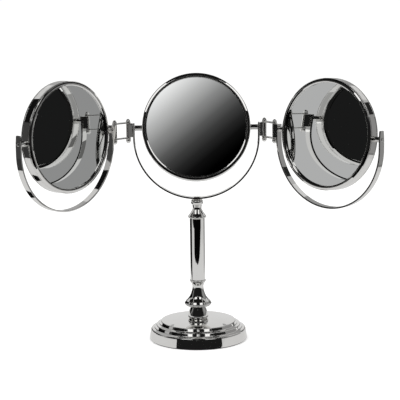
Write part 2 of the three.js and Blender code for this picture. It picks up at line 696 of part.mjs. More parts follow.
// The rod that ties foot, baluster, tube and cap together.
function tieRod() {
  return bar(TIE_ROD_RADIUS, BALLAST_BOTTOM, ROD_TOP);
}

// The screw that clamps the middle yoke to the column's cap.
function yokeScrew() {
  const seat = COLUMN_TOP + YOKE_THICKNESS + CLEARANCE;
  const profile = [
    [0, COLUMN_TOP - YOKE_SCREW_DEPTH],
    [YOKE_SCREW_RADIUS, COLUMN_TOP - YOKE_SCREW_DEPTH],
    [YOKE_SCREW_RADIUS, seat],
    [YOKE_SCREW_HEAD_RADIUS, seat],
    ...arc(0, seat, YOKE_SCREW_HEAD_RADIUS, YOKE_SCREW_HEAD_HEIGHT, 0.3, Math.PI / 2, 3),
  ];
  return turned(profile, SMALL_SIDES);
}

// The stand: foot, column, middle yoke and the two knuckles on it.
function stand() {
  const group = new THREE.Group();
  group.add(
    piece("base_pad", bar(FOOT_RADIUS - PAD_MARGIN, 0, PAD_THICKNESS, FOOT_SIDES), felt),
    piece("base_shell", footShell(), chrome),
    piece("base_ballast", ballast(), iron),
    piece("tie_rod_washer", washer(), steel),
    piece("tie_rod_nut", rodNut(), steel),
    piece("tie_rod", tieRod(), steel),
    piece("lower_baluster", baluster(), chrome),
    piece("column_tube", columnTube(), chrome),
    piece("column_cap", columnCap(), chrome),
    piece("center_yoke", yoke(0), chrome),
    piece("yoke_screw", yokeScrew(), chrome),
  );
  for (const [name, side] of [["left", -1], ["right", 1]]) {
    const inner = knuckleFor(name + "_inner", -side);
    inner.position.x = side * HINGE_REACH;
    group.add(inner);
  }
  return group;
}

const vanityMirror = new THREE.Group();
vanityMirror.add(
  stand(),
  mirror("center", TILT_DEG.center),
  hingedWing("left", -1),
  hingedWing("right", 1),
);

export default vanityMirror;
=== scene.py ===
"""A triple vanity mirror in polished nickel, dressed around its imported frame.

The sizes in capitals are in millimetres, nearly all as the part itself has them, and MM turns them into
metres. Only the studio's are in metres. Turned pieces are lathed from smooth profiles, yokes are bent
strips with rounded edges, and knuckles and links are plates with rounded edges. The metal mirrors a small
studio, which only reflections see: a pale table that ends in front of the foot, dark flags, grey boards and
two light boxes high up in front.
"""
import json
from math import cos, pi, radians, sin, sqrt, tan

import bpy
from mathutils import Matrix, Vector


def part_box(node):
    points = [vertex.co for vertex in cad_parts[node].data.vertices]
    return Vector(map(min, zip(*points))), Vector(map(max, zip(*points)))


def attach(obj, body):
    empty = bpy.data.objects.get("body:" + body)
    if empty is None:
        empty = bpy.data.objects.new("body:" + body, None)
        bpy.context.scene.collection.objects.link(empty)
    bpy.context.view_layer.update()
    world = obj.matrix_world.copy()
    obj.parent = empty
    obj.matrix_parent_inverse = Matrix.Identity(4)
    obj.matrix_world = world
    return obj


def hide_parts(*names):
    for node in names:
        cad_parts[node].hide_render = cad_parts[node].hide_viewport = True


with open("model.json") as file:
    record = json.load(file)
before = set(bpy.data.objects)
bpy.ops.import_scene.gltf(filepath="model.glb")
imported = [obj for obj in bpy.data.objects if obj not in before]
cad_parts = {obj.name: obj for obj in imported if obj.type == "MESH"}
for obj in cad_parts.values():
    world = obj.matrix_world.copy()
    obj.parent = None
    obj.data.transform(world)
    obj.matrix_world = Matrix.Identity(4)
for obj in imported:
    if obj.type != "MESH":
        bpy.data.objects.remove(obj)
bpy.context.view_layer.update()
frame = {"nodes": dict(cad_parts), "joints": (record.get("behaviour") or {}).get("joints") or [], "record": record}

MM = 0.001
JOINTS = {joint["name"]: joint for joint in frame["joints"]}
SIDE = {"left": -1, "right": 1}
MIRRORS = ("center", "left", "right")

# Between any two pieces
CLEARANCE = 0.3

# Mirrors
DRUM_RADIUS = 80
BAND_WALL = 1.2
HALF_BAND = 7.0
BEZEL_WIDTH = 6.6
BEZEL_RISE = 2.3
BEZEL_SKIRT_WALL = 1.2
SKIRT_END = 3.5
BEZEL_CHAMFER_WIDTH = 0.9
BEZEL_CHAMFER_FALL = 1.62
BEZEL_SHOULDER_WIDTH = 3.2
BEZEL_SHOULDER_FALL = 0.86
BEZEL_BEVEL_WIDTH = 2.0
BEZEL_BEVEL_FALL = 0.75
GLASS_THICKNESS = 3
GLASS_BEVEL = 0.4
MAGNIFIER_SAG = 3.8
# How far each wing's image is turned towards its hinge, and up. The photograph's mirror images show the
# wings opened this much further than their outlines do.
IMAGE_LEAN_DEG = {"center": (0, 0), "left": (2.6, 0), "right": (9.55, -2.8)}

# Pivot pins
PIVOT_COLLAR_RADIUS = 3.9
PIVOT_BEAD_LENGTH = 1.5
PIVOT_BEAD_RISE = 0.2
PIVOT_TAIL_RADIUS = 1.6
PIVOT_TAIL_LENGTH = 7.2
PIVOT_TIP_RADIUS = 2.4
PIVOT_TIP_PROUD = 0.8

# Yokes
YOKE_SIDE_GAP = 11.15
YOKE_THICKNESS = 2.5
YOKE_WIDTH = 10
YOKE_EDGE = 0.2
PIVOT_ABOVE_BOW = 13.6
FREE_END_ABOVE_PIVOT = 12.5
FREE_END_TAPER = 2.2
FREE_END_ROUND = 1.6

# Double hinges
KNUCKLE_RADIUS = 3.4
KNUCKLE_HEIGHT = 20.5
KNUCKLE_DROP = 3.4
KNUCKLE_LUG_LENGTH = 6.65
KNUCKLE_EDGE = 0.7
HINGE_PIN_RADIUS = 1.7
LINK_THICKNESS = 1.6
LINK_END_RADIUS = 4
LINK_EDGE = 0.45
HINGE_HEAD_RADIUS = 3.5
HINGE_HEAD_HEIGHT = 4.6
CAP_NUT_RADIUS = 3.7
CAP_NUT_HEIGHT = 6.6

# Foot
FOOT_RADIUS = 73.5
FOOT_RIM_HEIGHT = 15.7
FOOT_STEP_HEIGHT = 5.4
FOOT_STEP_WIDTH = 7.2
FOOT_DOME_RISE = 2.7
FOOT_WALL = 2.2
PAD_THICKNESS = 1.5
PAD_MARGIN = 1.5
FOOT_SHOULDER = 3.2
FOOT_RIM_DRAFT = 1.9
FOOT_RISER_DRAFT = 2.4
FOOT_LEDGE_RISE = 0.8
FOOT_EDGE = 0.9

# Column
SEAT_RADIUS = 13.8
BULB_RADIUS = 15.2
BULB_HEIGHT = 17.8
WAIST_RADIUS = 11
SKIRT_RADIUS = 20.4
SKIRT_RISE = 5.8
SKIRT_EDGE = 2.2
LOWER_NECK_RADIUS = 8.5
BALUSTER_HEIGHT = 60
CUP_LIP = 1.1
CUP_LIP_HEIGHT = 3.4
TUBE_RADIUS = 11.1
TUBE_WALL = 1.2
TUBE_LENGTH = 93.6
SPIGOT_LENGTH = 6
CAP_LIP = 0.6
CAP_FLARE_RADIUS = 13.8
CAP_FLARE_HEIGHT = 3.1
CAP_FLARE_EDGE = 1.4
CAP_NECK_RADIUS = 6.8
CAP_KNOB_RADIUS = 9.2
CAP_KNOB_HEIGHT = 5.2
CAP_SEAT_RADIUS = 5.5
CAP_HEIGHT = 29.2
TIE_ROD_RADIUS = 2.9
ROD_DEPTH_IN_CAP = 9
YOKE_SCREW_RADIUS = 2.4
YOKE_SCREW_DEPTH = 9
YOKE_SCREW_HEAD_RADIUS = 5
YOKE_SCREW_HEAD_HEIGHT = 1.5
SCREW_SLOT_WIDTH = 1.2
SCREW_SLOT_DEPTH = 0.8

# Roundness
DRUM_SIDES = 160
FOOT_SIDES = 200
COLUMN_SIDES = 128
SMALL_SIDES = 48
EDGE_STEPS = 4
SHARP_ANGLE = radians(35)

# Sizes worked out from those above
SKIRT_OUTER_RADIUS = DRUM_RADIUS - BAND_WALL - CLEARANCE
SKIRT_INNER_RADIUS = SKIRT_OUTER_RADIUS - BEZEL_SKIRT_WALL
GLASS_RADIUS = SKIRT_INNER_RADIUS - CLEARANCE
YOKE_INNER_RADIUS = DRUM_RADIUS + YOKE_SIDE_GAP
YOKE_OUTER_RADIUS = YOKE_INNER_RADIUS + YOKE_THICKNESS
SPIGOT_RADIUS = TUBE_RADIUS - TUBE_WALL - CLEARANCE
ROD_BORE_RADIUS = TIE_ROD_RADIUS + CLEARANCE
HINGE_BORE_RADIUS = HINGE_PIN_RADIUS + CLEARANCE
FOOT_TOP = PAD_THICKNESS + FOOT_RIM_HEIGHT + 2 * FOOT_STEP_HEIGHT + FOOT_DOME_RISE
TUBE_BOTTOM = FOOT_TOP + BALUSTER_HEIGHT
TUBE_TOP = TUBE_BOTTOM + TUBE_LENGTH
COLUMN_TOP = TUBE_TOP + CAP_HEIGHT
PIVOT_HEIGHT = COLUMN_TOP + YOKE_OUTER_RADIUS + PIVOT_ABOVE_BOW
KNUCKLE_BOTTOM = PIVOT_HEIGHT - KNUCKLE_DROP - KNUCKLE_HEIGHT / 2
KNUCKLE_TOP = KNUCKLE_BOTTOM + KNUCKLE_HEIGHT
TOP_LINK_BOTTOM = KNUCKLE_TOP + CLEARANCE
BOTTOM_LINK_BOTTOM = KNUCKLE_BOTTOM - CLEARANCE - LINK_THICKNESS
HEAD_BOTTOM = TOP_LINK_BOTTOM + LINK_THICKNESS + CLEARANCE
CAP_NUT_TOP = BOTTOM_LINK_BOTTOM - CLEARANCE
CAP_NUT_BOTTOM = CAP_NUT_TOP - CAP_NUT_HEIGHT


# Materials


class Shader:
    """A material's node tree, with short calls that add nodes and join them."""

    def __init__(self, name):
        self.material = bpy.data.materials.new(name)
        self.material.use_nodes = True
        self.tree = self.material.node_tree
        self.surface = self.tree.nodes["Principled BSDF"]
        self.place = self.add("TexCoord").outputs["Object"]

    def add(self, kind, **inputs):
        node = self.tree.nodes.new("ShaderNode" + kind)
        for name, value in inputs.items():
            node.inputs[name].default_value = value
        return node

    def link(self, source, target):
        self.tree.links.new(source, target)

    def stretched(self, x, y, z):
        mapping = self.add("Mapping", Scale=(x, y, z))
        self.link(self.place, mapping.inputs["Vector"])
        return mapping.outputs["Vector"]

    def noise(self, scale, detail=3, place=None):
        node = self.add("TexNoise", Scale=scale, Detail=detail)
        self.link(place or self.place, node.inputs["Vector"])
        return node.outputs["Fac"]

    def spread(self, value, low=0, high=1, start=0.3, end=0.7):
        """A noise value's usual range, start to end, spread over low to high."""
        node = self.add("MapRange")
        for name, number in (("From Min", start), ("From Max", end), ("To Min", low), ("To Max", high)):
            node.inputs[name].default_value = number
        self.link(value, node.inputs["Value"])
        return node.outputs["Result"]

    def blend(self, share, first, second):
        node = self.add("Mix")
        node.data_type = "RGBA"
        node.inputs["A"].default_value = (*first, 1)
        node.inputs["B"].default_value = (*second, 1)
        self.link(share, node.inputs["Factor"])
        return node.outputs["Result"]

    def larger(self, first, second):
        node = self.add("Math")
        node.operation = "MAXIMUM"
        self.link(first, node.inputs[0])
        self.link(second, node.inputs[1])
        return node.outputs[0]

    def bump(self, height, distance, below=None):
        node = self.add("Bump", Strength=1.0, Distance=distance)
        self.link(height, node.inputs["Height"])
        if below is not None:
            self.link(below, node.inputs["Normal"])
        return node.outputs["Normal"]

    def turned_normal(self, lean):
        """The surface's normal with a lean, given in the object's axes, added to it."""
        way = self.add("VectorTransform", Vector=lean)
        way.vector_type = "VECTOR"
        way.convert_from = "OBJECT"
        way.convert_to = "WORLD"
        total = self.add("VectorMath")
        self.link(self.add("NewGeometry").outputs["Normal"], total.inputs[0])
        self.link(way.outputs[0], total.inputs[1])
        return total.outputs[0]

    def set(self, name, value):
        self.surface.inputs[name].default_value = value

    def feed(self, name, source):
        self.link(source, self.surface.inputs[name])

    def mottle(self, texture, first, second, roughness):
        """Spreads one texture over two colours and a range of roughness."""
        self.feed("Base Color", self.blend(self.spread(texture), first, second))
        self.feed("Roughness", self.spread(texture, *roughness))


def nickel():
    """Polished nickel plate: a mirror finish with faint waves, wiping marks and dull specks."""
    shader = Shader("polished_nickel")
    bright = (0.83, 0.825, 0.81)
    warm = (0.78, 0.77, 0.75)
    shader.set("Metallic", 1.0)
    tone = shader.spread(shader.noise(scale=14, detail=4))
    shader.feed("Base Color", shader.blend(tone, bright, warm))
    rubbed = shader.noise(scale=60, detail=5, place=shader.stretched(1, 1, 0.25))
    wiping = shader.spread(rubbed, low=0.02, high=0.07, start=0.45, end=0.8)
    specks = shader.spread(shader.noise(scale=900, detail=2), low=0.02, high=0.16, start=0.66, end=0.8)
    shader.feed("Roughness", shader.larger(wiping, specks))
    waves = shader.bump(shader.noise(scale=28, detail=1), distance=0.00012)
    shader.feed("Normal", shader.bump(shader.noise(scale=1500, detail=2), distance=0.0000012, below=waves))
    return shader.material


def silvering(name, lean=(0, 0, 0)):
    """Silvered glass: clear and flat, with faint smears and dust that only dull it a little.

    A lean turns the whole image, as a wedge of glass would.
    """
    shader = Shader(name)
    tint = (0.90, 0.91, 0.905)
    deeper = tuple(0.985 * part for part in tint)
    shader.set("Metallic", 1.0)
    cloud = shader.spread(shader.noise(scale=9, detail=3))
    shader.feed("Base Color", shader.blend(cloud, tint, deeper))
    wiped = shader.noise(scale=30, detail=5, place=shader.stretched(1, 1, 0.4))
    smears = shader.spread(wiped, low=0.004, high=0.02, start=0.5, end=0.85)
    dust = shader.spread(shader.noise(scale=1100, detail=2), low=0.004, high=0.12, start=0.72, end=0.85)
    shader.feed("Roughness", shader.larger(smears, dust))
    if any(lean):
        shader.feed("Normal", shader.turned_normal(lean))
    return shader.material


def felt():
    """Pressed felt: matted fibres, with a soft sheen."""
    shader = Shader("pressed_felt")
    mats = shader.noise(scale=700, detail=6)
    shader.mottle(mats, (0.008, 0.008, 0.01), (0.03, 0.03, 0.034), roughness=(0.9, 1.0))
    shader.feed("Normal", shader.bump(mats, distance=0.0004))
    shader.set("Sheen Weight", 0.3)
    return shader.material


def zinc():
    """Zinc plate on steel, a little dull and cloudy."""
    shader = Shader("zinc_plate")
    shader.set("Metallic", 1.0)
    cloud = shader.noise(scale=220, detail=4)
    shader.mottle(cloud, (0.30, 0.30, 0.31), (0.22, 0.22, 0.23), roughness=(0.28, 0.45))
    shader.feed("Normal", shader.bump(shader.noise(scale=1200, detail=3), distance=0.00001))
    return shader.material


def cast_iron():
    """Iron as it was cast: dark, pitted and rough."""
    shader = Shader("cast_iron")
    shader.set("Metallic", 0.7)
    sand = shader.noise(scale=420, detail=6)
    shader.mottle(sand, (0.05, 0.05, 0.055), (0.025, 0.024, 0.024), roughness=(0.6, 0.85))
    shader.feed("Normal", shader.bump(sand, distance=0.0005))
    return shader.material


def fibreboard():
    """Plain brown fibreboard."""
    shader = Shader("fibreboard")
    fibres = shader.noise(scale=260, detail=6, place=shader.stretched(1, 4, 1))
    shader.mottle(fibres, (0.27, 0.19, 0.11), (0.19, 0.13, 0.07), roughness=(0.8, 0.95))
    shader.feed("Normal", shader.bump(fibres, distance=0.0002))
    return shader.material


MATERIAL = {
    "chrome": nickel(),
    "mirror_glass": silvering("silvered_glass"),
    "steel": zinc(),
    "iron": cast_iron(),
    "felt": felt(),
    "board": fibreboard(),
}


# Shapes. Profiles are [radius, height] points in millimetres, up the outer side.


def arc(x, y, rx, ry, start, end, steps):
    """Points on an ellipse's arc, from one angle to another."""
    angles = [start + (end - start) * i / steps for i in range(steps + 1)]
    return [(x + rx * cos(a), y + ry * sin(a)) for a in angles]


def smooth(points, steps=10):
    """A smooth curve through points."""
    curve = []
    last = len(points) - 1
    for i in range(last):
        a, b = Vector(points[max(i - 1, 0)]), Vector(points[i])
        c, d = Vector(points[i + 1]), Vector(points[min(i + 2, last)])
        for k in range(steps):
            t = k / steps
            curve.append(tuple(0.5 * (2 * b + (c - a) * t + (2 * a - 5 * b + 4 * c - d) * t**2
                                      + (3 * b - a - 3 * c + d) * t**3)))
    return [*curve, tuple(points[last])]


def eased(points, radius, steps=EDGE_STEPS):
    """An open line of points with its inner corners rounded, each as far as its stretches allow."""
    path = [Vector(p) for p in points]
    line = [tuple(path[0])]
    for before, corner, after in zip(path, path[1:], path[2:]):
        reach = min(radius, (before - corner).length / 2, (after - corner).length / 2)
        start = corner + (before - corner).normalized() * reach
        end = corner + (after - corner).normalized() * reach
        for k in range(steps + 1):
            t = k / steps
            line.append(tuple(start * (1 - t) ** 2 + corner * 2 * t * (1 - t) + end * t**2))
    return [*line, tuple(path[-1])]


def thing_of(name, points, faces):
    """A mesh object from points in metres."""
    mesh = bpy.data.meshes.new(name)
    mesh.from_pydata(points, [], faces)
    thing = bpy.data.objects.new(name, mesh)
    bpy.context.scene.collection.objects.link(thing)
    return thing


def mesh_of(name, points, faces):
    """A mesh object from millimetre points."""
    thing = thing_of(name, [tuple(Vector(p) * MM) for p in points], faces)
    thing.data.validate()
    return thing


def turned(name, profile, sides):
    """A solid of revolution about Z. A profile that stays off the axis closes on itself."""
    points = []
    rings = []
    for radius, height in profile:
        count = sides if radius > 1e-6 else 1
        rings.append([len(points) + k for k in range(count)])
        points += [(radius * cos(2 * pi * k / sides), radius * sin(2 * pi * k / sides), height)
                   for k in range(count)]
    pairs = list(zip(rings, rings[1:]))
    if len(rings[0]) > 1:
        pairs.append((rings[-1], rings[0]))
    faces = []
    for low, high in pairs:
        for k in range(sides):
            near, far = k, (k + 1) % sides
            edge_below = [low[near % len(low)], low[far % len(low)]]
            edge_above = [high[far % len(high)], high[near % len(high)]]
            face = list(dict.fromkeys(edge_below + edge_above))
            if len(face) > 2:
                faces.append(face)
    return mesh_of(name, points, faces)


def prism(name, outline_at, bottom, top, edge):
    """An upright plate with rounded edges. outline_at(inset) gives its outline, drawn in by an inset."""
    levels = [(edge * (1 - sin(a)), bottom + edge * (1 - cos(a)))
              for a in (pi / 2 * k / EDGE_STEPS for k in range(EDGE_STEPS + 1))]
    levels += [(inset, top + bottom - z) for inset, z in reversed(levels)]
    points = []
    for inset, z in levels:
        points += [(x, y, z) for x, y in outline_at(inset)]
    count = len(points) // len(levels)
    faces = [list(range(count))[::-1], [len(points) - count + k for k in range(count)]]
    for level in range(len(levels) - 1):
        for k in range(count):
            low, high = level * count, (level + 1) * count
            faces.append([low + k, low + (k + 1) % count, high + (k + 1) % count, high + k])
    return mesh_of(name, points, faces)


def cut(thing, cutter):
    """Takes one shape out of another for good, and deletes the cutter."""
    step = thing.modifiers.new("cut", "BOOLEAN")
    step.operation = "DIFFERENCE"
    step.solver = "EXACT"
    step.object = cutter
    bpy.context.view_layer.update()
    shape = bpy.data.meshes.new_from_object(thing.evaluated_get(bpy.context.evaluated_depsgraph_get()))
    thing.modifiers.clear()
    thing.data = shape
    bpy.data.objects.remove(cutter)


def pin_cutter(radius, low, high, matrix):
    """A round rod about Z between two heights, moved by a matrix, for cutting a bore."""
    cutter = turned("cutter", [(0, low), (radius, low), (radius, high), (0, high)], SMALL_SIDES)
    cutter.data.transform(matrix)
    return cutter


def dress(thing, matrix, body, node, slot="chrome", material=None):
    """Puts a piece in place, gives it its finish and lets it stand for its node on a body."""
    thing.data.transform(matrix)
    if matrix.determinant() < 0:
        thing.data.flip_normals()
    thing.data.polygons.foreach_set("use_smooth", [True] * len(thing.data.polygons))
    thing.data.set_sharp_from_angle(angle=SHARP_ANGLE)
    even = thing.modifiers.new("even_normals", "WEIGHTED_NORMAL")
    even.keep_sharp = True
    thing.data.materials.clear()
    thing.data.materials.append(material or MATERIAL[slot])
    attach(thing, body)
    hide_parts(node)


def lathe(name, profile, sides, matrix, body, node, slot="chrome", material=None):
    """A turned piece in its place."""
    dress(turned(name, profile, sides), matrix, body, node, slot, material)


# Frames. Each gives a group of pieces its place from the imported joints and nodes.


def joint_place(name):
    return Vector(JOINTS[name]["pos_m"])


def center_of(node):
    low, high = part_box(node)
    return (low + high) / 2


def axes(x, y, z, origin):
    return Matrix.Translation(origin) @ Matrix((x, y, z)).transposed().to_4x4()


def mirror_frame(name):
    """A mirror's own frame: X along its pivot axis, -Y out of its front."""
    x = -Vector(JOINTS[name + "_tilt"]["axis"])
    pivot = joint_place(name + "_tilt")
    front = center_of(name + "_flat_glass") - pivot
    front = (front - front.project(x)).normalized()
    return axes(x, -front, x.cross(-front), pivot)


def yoke_frame(name):
    """A yoke's own frame on the floor under its pivot: X along the pivot axis, Z up."""
    x = -Vector(JOINTS[name + "_tilt"]["axis"])
    up = Vector((0, 0, 1))
    origin = joint_place(name + "_tilt")
    origin.z = 0
    return axes(x, up.cross(x), up, origin)


def hinge_frame(place, along):
    """A frame on the floor under a hinge pin, with X along a given way."""
    up = Vector((0, 0, 1))
    along = Vector((along.x, along.y, 0)).normalized()
    return axes(along, up.cross(along), up, Vector((place.x, place.y, 0)))


FACE_FRONT = Matrix.Rotation(pi / 2, 4, "X")
ALONG_X = Matrix.Rotation(pi / 2, 4, "Y")
ABOUT_Z = Matrix.Rotation(pi, 4, "Z")


# Mirrors


def band_profile():
    """The drum's band: a plain wall with a fine groove beside each edge and rounded edges."""
    edge = 0.35
    groove = 0.3
    inset = 1.3
    half = [
        (DRUM_RADIUS, 0), (DRUM_RADIUS, HALF_BAND - inset - groove),
        (DRUM_RADIUS - groove, HALF_BAND - inset), (DRUM_RADIUS, HALF_BAND - inset + groove),
        (DRUM_RADIUS, HALF_BAND), (DRUM_RADIUS - BAND_WALL, HALF_BAND),
    ]
    return eased([(r, -z) for r, z in half[:0:-1]] + half, edge, steps=3)


def bezel_profile():
    """A pressed bezel: a chamfered edge, a sloping shoulder, a flat ring, a bevel and a skirt."""
    shoulder_sag = 0.1
    bevel_lean = 0.2
    outer_round = 0.3
    inner_round = 0.4
    seat = HALF_BAND + CLEARANCE
    inner = DRUM_RADIUS - BEZEL_WIDTH
    crown = seat + BEZEL_RISE
    edge = (DRUM_RADIUS, crown - BEZEL_CHAMFER_FALL)
    slope = (DRUM_RADIUS - BEZEL_CHAMFER_WIDTH, crown - BEZEL_SHOULDER_FALL)
    shoulder = (DRUM_RADIUS - BEZEL_SHOULDER_WIDTH, crown - shoulder_sag)
    ring = (inner + BEZEL_BEVEL_WIDTH, crown)
    bevel = (inner + bevel_lean, crown - BEZEL_BEVEL_FALL)
    outer_face = eased([(DRUM_RADIUS, seat), edge, slope, shoulder], outer_round, steps=6)
    inner_face = eased([outer_face[-2], shoulder, ring, bevel, (inner, seat)], inner_round, steps=5)
    return [
        (SKIRT_INNER_RADIUS, SKIRT_END), (SKIRT_OUTER_RADIUS, SKIRT_END), (SKIRT_OUTER_RADIUS, seat),
        *outer_face[:-2], *inner_face, (SKIRT_INNER_RADIUS, seat),
    ]


def pin_profile():
    """A pivot pin: a tail in the drum, a collar with a bead at each end, and a domed tip in the yoke."""
    edge = 0.45
    bead = PIVOT_BEAD_LENGTH
    rim = PIVOT_COLLAR_RADIUS + PIVOT_BEAD_RISE
    start = DRUM_RADIUS + CLEARANCE
    end = YOKE_INNER_RADIUS - CLEARANCE
    tail_end = DRUM_RADIUS - PIVOT_TAIL_LENGTH
    collar = eased([
        (PIVOT_TAIL_RADIUS, start), (rim, start), (rim, start + bead),
        (PIVOT_COLLAR_RADIUS, start + bead), (PIVOT_COLLAR_RADIUS, end - bead),
        (rim, end - bead), (rim, end), (PIVOT_TIP_RADIUS, end),
    ], edge)
    dome = arc(0, YOKE_OUTER_RADIUS, PIVOT_TIP_RADIUS, PIVOT_TIP_PROUD, 0, pi / 2, steps=8)
    return [
        (0, tail_end), (PIVOT_TAIL_RADIUS, tail_end), (PIVOT_TAIL_RADIUS, start),
        *collar[1:], *dome[:-1], (0, YOKE_OUTER_RADIUS + PIVOT_TIP_PROUD),
    ]


def build_drum(name, body, front, rear):
    """A mirror's band and its front and rear bezels."""
    lathe(name + "_band_finish", band_profile(), DRUM_SIDES, front, body, name + "_drum_band")
    for label, side in (("front", front), ("rear", rear)):
        bezel = f"{name}_{label}_bezel"
        lathe(bezel + "_finish", bezel_profile(), DRUM_SIDES, side, body, bezel)


def build_flat_glass(name, body, place, front):
    """The front glass, silvered for itself because each mirror's image has its own lean."""
    low = HALF_BAND - GLASS_THICKNESS
    section = [(0, low), (GLASS_RADIUS, low), (GLASS_RADIUS, HALF_BAND), (0, HALF_BAND)]
    across, rise = (tan(radians(angle)) for angle in IMAGE_LEAN_DEG[name])
    to_hinge = -SIDE.get(name, 0) * place.to_3x3().col[0]
    silver = silvering(name + "_silvered_glass", tuple(to_hinge * across + Vector((0, 0, rise))))
    glass = name + "_flat_glass"
    lathe(glass + "_finish", eased(section, GLASS_BEVEL, steps=3), DRUM_SIDES, front, body, glass,
          "mirror_glass", silver)


def build_magnifier(name, body, rear):
    """The rear glass, dished so that it magnifies."""
    rings = 24
    radii = [k / rings * GLASS_RADIUS for k in range(rings + 1)]
    outer = [(r, HALF_BAND - MAGNIFIER_SAG * (1 - (r / GLASS_RADIUS) ** 2)) for r in radii]
    inner = [(r, z - GLASS_THICKNESS) for r, z in outer]
    glass = name + "_magnifying_glass"
    lathe(glass + "_finish", [*inner, *reversed(outer)], DRUM_SIDES, rear, body, glass, "mirror_glass")


def build_mirror(name):
    body = name + "_mirror"
    place = mirror_frame(name)
    front = place @ FACE_FRONT
    rear = place @ ABOUT_Z @ FACE_FRONT
    build_drum(name, body, front, rear)
    build_flat_glass(name, body, place, front)
    build_magnifier(name, body, rear)
    for label, turn in (("left", ABOUT_Z), ("right", Matrix.Identity(4))):
        lathe(f"{name}_{label}_pin_finish", pin_profile(), SMALL_SIDES, place @ turn @ ALONG_X, body,
              f"{name}_{label}_pivot_pin")


# Yokes


def strip_section(half_width, edge):
    """A yoke strip's section: [across, outward] points of a flat bar with rounded edges."""
    half = YOKE_THICKNESS / 2
    section = []
    for across, outward, start in ((1, 1, 0), (-1, 1, pi / 2), (-1, -1, pi), (1, -1, 3 * pi / 2)):
        section += arc(across * (half_width - edge), outward * (half - edge), edge, edge,
                       start, start + pi / 2, EDGE_STEPS)
    return section


def arm_half_width(height, free):
    """Half the strip's width at a height on an arm. A free arm narrows and rounds off to its tip."""
    half = YOKE_WIDTH / 2
    tip = PIVOT_HEIGHT + FREE_END_ABOVE_PIVOT
    if not free or height <= PIVOT_HEIGHT:
        return half
    half -= FREE_END_TAPER / 2 * (height - PIVOT_HEIGHT) / FREE_END_ABOVE_PIVOT
    past = max(0, height - (tip - FREE_END_ROUND)) / FREE_END_ROUND
    return half - FREE_END_ROUND * (1 - sqrt(max(0, 1 - past**2)))


def arm_stations(end, free):
    """Heights up an arm from the bow to its end, with the strip's half width and rounding at each."""
    low = PIVOT_HEIGHT - PIVOT_ABOVE_BOW
    bend = max(low, end - 2 * FREE_END_ROUND)
    straight_steps = 6
    end_steps = 8
    heights = [low + (bend - low) * k / straight_steps for k in range(1, straight_steps + 1)]
    heights += [bend + (end - YOKE_EDGE - bend) * k / end_steps for k in range(1, end_steps + 1)]
    stations = [(z, arm_half_width(z, free), 0) for z in heights]
    for k in range(1, EDGE_STEPS + 1):
        a = pi / 2 * k / EDGE_STEPS
        z = end - YOKE_EDGE + YOKE_EDGE * sin(a)
        stations.append((z, arm_half_width(end - YOKE_EDGE, free), YOKE_EDGE * (1 - cos(a))))
    return stations


def yoke_stations(free_side):
    """A yoke from its left end to its right: [x, z], the way outward, half width and end rounding."""
    free_end = PIVOT_HEIGHT + FREE_END_ABOVE_PIVOT
    middle = (YOKE_INNER_RADIUS + YOKE_OUTER_RADIUS) / 2
    bow = PIVOT_HEIGHT - PIVOT_ABOVE_BOW
    turns = 120
    left, right = (arm_stations(free_end if free else KNUCKLE_TOP, free)
                   for free in (free_side < 0, free_side > 0))
    stations = [(-middle, z, -1, 0, width, draw) for z, width, draw in reversed(left)]
    for k in range(turns + 1):
        a = pi + pi * k / turns
        stations.append((middle * cos(a), bow + middle * sin(a), cos(a), sin(a), YOKE_WIDTH / 2, 0))
    return stations + [(middle, z, 1, 0, width, draw) for z, width, draw in right]


def build_yoke(name, free_side, body):
    """A bent strip with a bore for each pivot pin. free_side is the side of its free arm, or 0."""
    stations = yoke_stations(free_side)
    points = []
    for x, z, out_x, out_z, width, draw in stations:
        for across, outward in strip_section(width, YOKE_EDGE):
            across *= (width - draw) / width
            outward *= 1 - draw / (YOKE_THICKNESS / 2)
            points.append((x + out_x * outward, across, z + out_z * outward))
    count = len(points) // len(stations)
    faces = [list(range(count)), [len(points) - 1 - k for k in range(count)]]
    for row in range(len(stations) - 1):
        for k in range(count):
            near, far = row * count, (row + 1) * count
            faces.append([near + k, far + k, far + (k + 1) % count, near + (k + 1) % count])
    yoke = mesh_of(name + "_yoke_finish", points, faces)
    lift = Matrix.Translation((0, 0, PIVOT_HEIGHT * MM))
    cut(yoke, pin_cutter(PIVOT_TIP_RADIUS + CLEARANCE, -2 * DRUM_RADIUS, 2 * DRUM_RADIUS, lift @ ALONG_X))
    if free_side == 0:
        hole = YOKE_SCREW_RADIUS + CLEARANCE
        below = COLUMN_TOP - YOKE_THICKNESS
        above = COLUMN_TOP + 3 * YOKE_THICKNESS
        cut(yoke, pin_cutter(hole, below, above, Matrix()))
    dress(yoke, yoke_frame(name), body, name + "_yoke")


# Hinges


def knuckle_outline(inset):
    """A knuckle from above: a barrel on the pin's axis with a lug back towards -X."""
    radius = KNUCKLE_RADIUS - inset
    corner = 0.8
    back = -KNUCKLE_LUG_LENGTH + inset
    outline = arc(0, 0, radius, radius, -pi / 2, pi / 2, steps=24)
    outline += arc(back + corner, radius - corner, corner, corner, pi / 2, pi, steps=4)
    return outline + arc(back + corner, corner - radius, corner, corner, pi, 3 * pi / 2, steps=4)


def link_outline(pitch):
    """A link plate from above, from one pin's axis to the next along X, as a function of its inset."""
    def outline(inset):
        radius = LINK_END_RADIUS - inset
        far_end = arc(pitch, 0, radius, radius, -pi / 2, pi / 2, steps=24)
        near_end = arc(0, 0, radius, radius, pi / 2, 3 * pi / 2, steps=24)
        return far_end + near_end
    return outline


